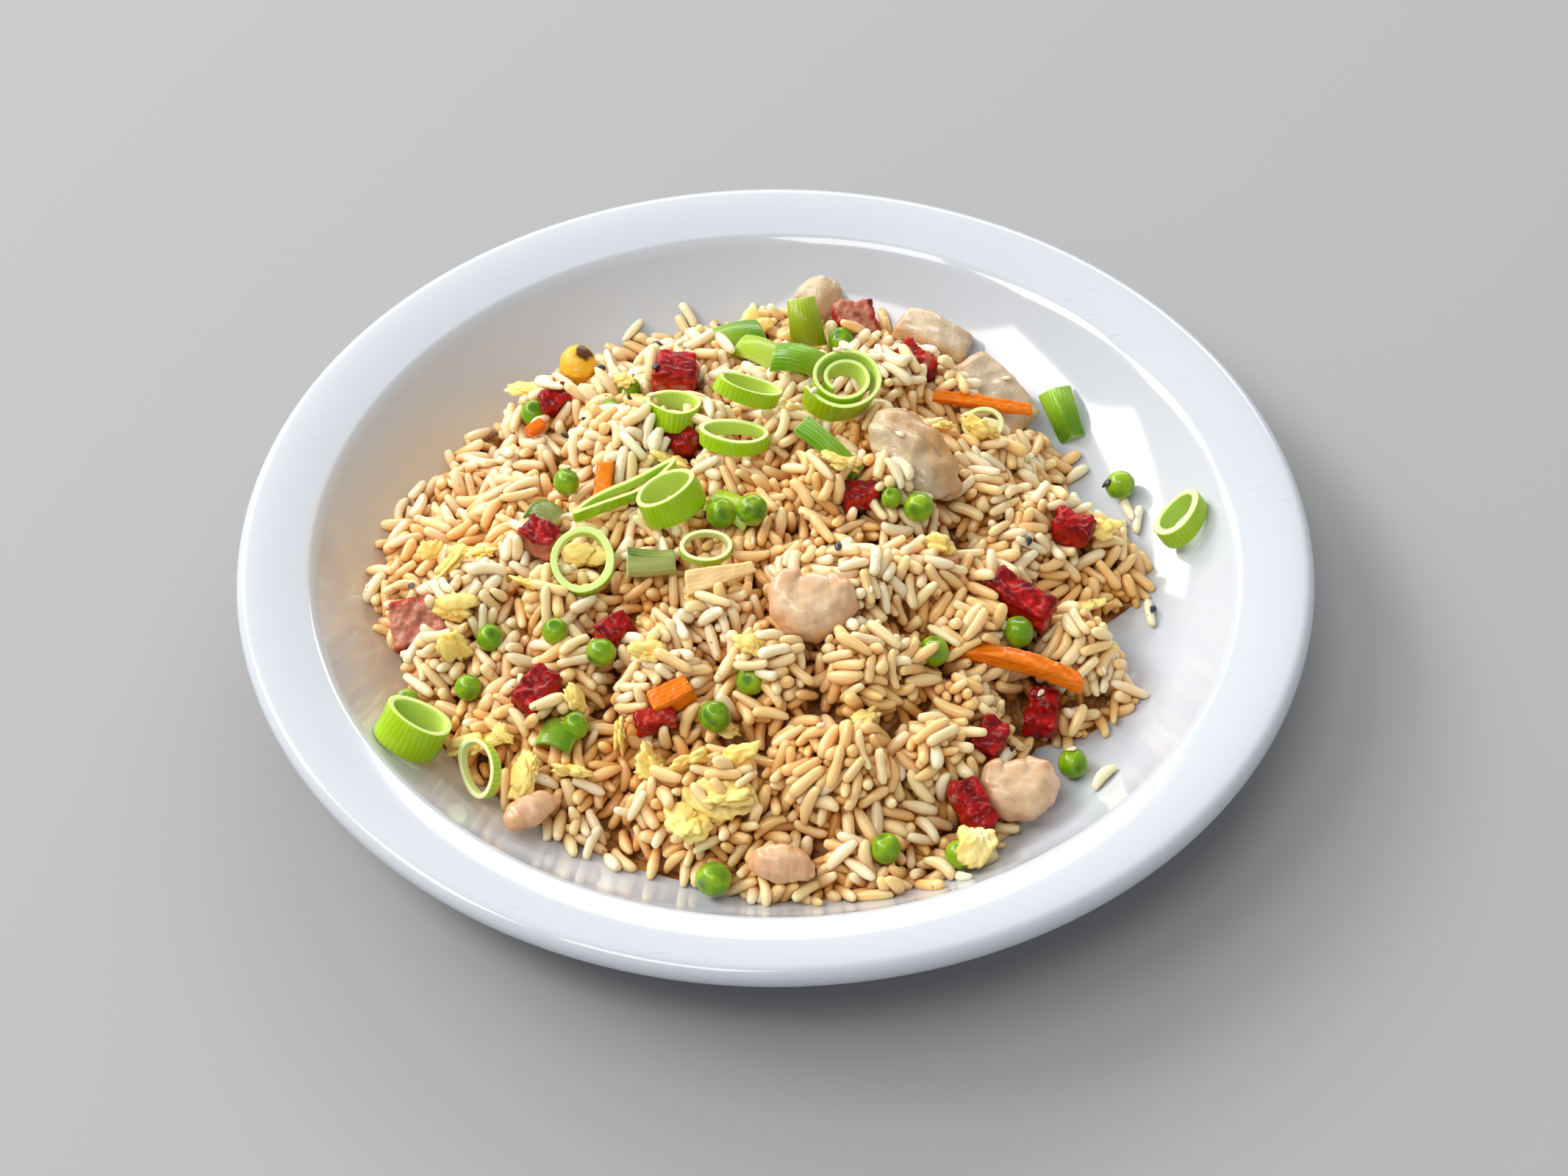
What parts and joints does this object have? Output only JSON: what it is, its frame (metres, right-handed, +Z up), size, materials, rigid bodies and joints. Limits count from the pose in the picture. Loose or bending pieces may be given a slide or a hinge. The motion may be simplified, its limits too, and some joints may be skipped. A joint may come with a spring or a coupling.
{
  "type": "fried rice plate",
  "caption": "Round white rimmed plate holding a loose heap of fried rice with prawns, roast pork, chicken, peas, spring onion, carrot and egg.",
  "frame": {"origin": "on the table surface, under the middle of the plate", "axes": "+Z up; -Y towards the diner, +X to the diner's right"},
  "size_m": [0.2798, 0.2798, 0.0537],
  "materials": {
    "plate": "smooth glossy white glaze",
    "rice": "moist separate grains with a light sheen of oil",
    "pea": "smooth, shiny and slightly wrinkled",
    "pork": "glossy red crust over fibrous meat",
    "prawn": "smooth, moist and slightly translucent",
    "chicken": "moist with browned edges",
    "spring_onion": "finely ribbed with a waxy sheen",
    "carrot": "moist cut faces",
    "egg": "soft crumbly curd with an oily sheen",
    "bamboo": "finely fibrous with a soft sheen"
  },
  "bodies": {
    "root": {"bamboo_slice": "bamboo", "carrot_1": "carrot", "carrot_2": "carrot", "carrot_3": "carrot", "carrot_4": "carrot", "chicken_1": "chicken", "chicken_2": "chicken", "chicken_3": "chicken", "chicken_4": "chicken", "egg_curd_1": "egg", "egg_curd_2": "egg", "egg_yolk": "egg", "onion_curl": "spring_onion", "onion_leaf_1": "spring_onion", "onion_leaf_2": "spring_onion", "onion_leaf_3": "spring_onion", "onion_leaf_4": "spring_onion", "onion_loop": "spring_onion", "onion_ring_1": "spring_onion", "onion_ring_2": "spring_onion", "onion_ring_3": "spring_onion", "onion_ring_4": "spring_onion", "onion_ring_5": "spring_onion", "onion_ring_6": "spring_onion", "onion_ring_7": "spring_onion", "onion_ring_8": "spring_onion", "onion_ring_9": "spring_onion", "onion_stub": "spring_onion", "onion_tube": "spring_onion", "pea_01": "pea", "pea_02": "pea", "pea_03": "pea", "pea_04": "pea", "pea_05": "pea", "pea_06": "pea", "pea_07": "pea", "pea_08": "pea", "pea_09": "pea", "pea_10": "pea", "pea_11": "pea", "pea_12": "pea", "pea_13": "pea", "pea_14": "pea", "plate": "plate", "pork_01": "pork", "pork_02": "pork", "pork_03": "pork", "pork_04": "pork", "pork_05": "pork", "pork_06": "pork", "pork_07": "pork", "pork_08": "pork", "pork_09": "pork", "pork_10": "pork", "pork_11": "pork", "prawn_1": "prawn", "prawn_2": "prawn", "prawn_3": "prawn", "prawn_4": "prawn", "rice_heap": "rice"}
  },
  "joints": []
}
